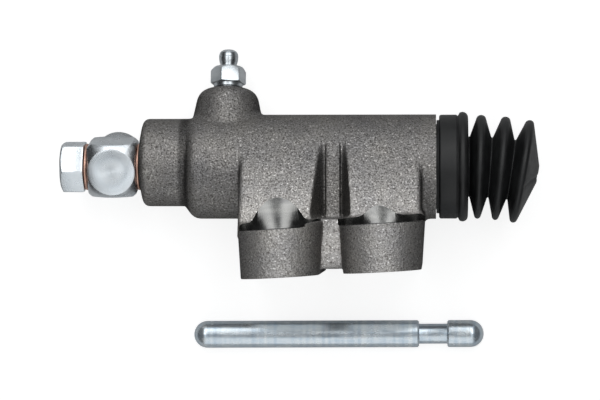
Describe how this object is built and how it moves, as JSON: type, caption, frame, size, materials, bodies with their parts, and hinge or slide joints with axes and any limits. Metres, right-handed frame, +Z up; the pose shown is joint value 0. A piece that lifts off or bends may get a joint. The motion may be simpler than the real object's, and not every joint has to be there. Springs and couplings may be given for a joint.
{
  "type": "clutch slave cylinder",
  "caption": "Cast iron hydraulic clutch slave cylinder with mounting lugs, pipe union, bleed screw, rubber bellows boot and a loose grooved push rod.",
  "frame": {"origin": "middle of the part's footprint, on the surface that it lies on", "axes": "+X along the bore towards the boot, +Y towards the bleed screw, +Z up from the flat back, which is towards the camera of the picture"},
  "size_m": [0.1744, 0.1104, 0.0753],
  "materials": {
    "casting": "sand cast, machined at spotfaces, mounting face, bore and ports",
    "zinc_plate": "bright zinc plate with fine turning marks",
    "copper": "annealed copper",
    "rubber": "soft matt black moulded rubber",
    "piston_alloy": "turned and ground",
    "spring_steel": "drawn wire"
  },
  "bodies": {
    "housing": {"cylinder_body": "casting", "union_block": "zinc_plate", "union_bolt": "zinc_plate", "outer_copper_washer": "copper", "inner_copper_washer": "copper", "snap_ring": "spring_steel", "return_spring": "spring_steel", "dust_boot": "rubber", "push_rod": "zinc_plate"},
    "piston_set": {"piston": "piston_alloy", "primary_cup": "rubber", "secondary_cup": "rubber", "spring_seat": "zinc_plate"},
    "bleeder": {"bleed_screw": "zinc_plate"}
  },
  "joints": [
    {"name": "piston_slide", "type": "slide", "parent": "housing", "child": "piston_set", "axis": [1, 0, 0], "range_m": [-0.036, 0], "stiffness_N_per_m": 350, "springref_m": 0.012, "deforming": ["return_spring"]},
    {"name": "bleed_screw_turn", "type": "hinge", "parent": "housing", "child": "bleeder", "pos_m": [-0.02667, 0.04119, 0.01376], "axis": [0, 0.9781, -0.2079], "range_deg": [0, 180]}
  ]
}
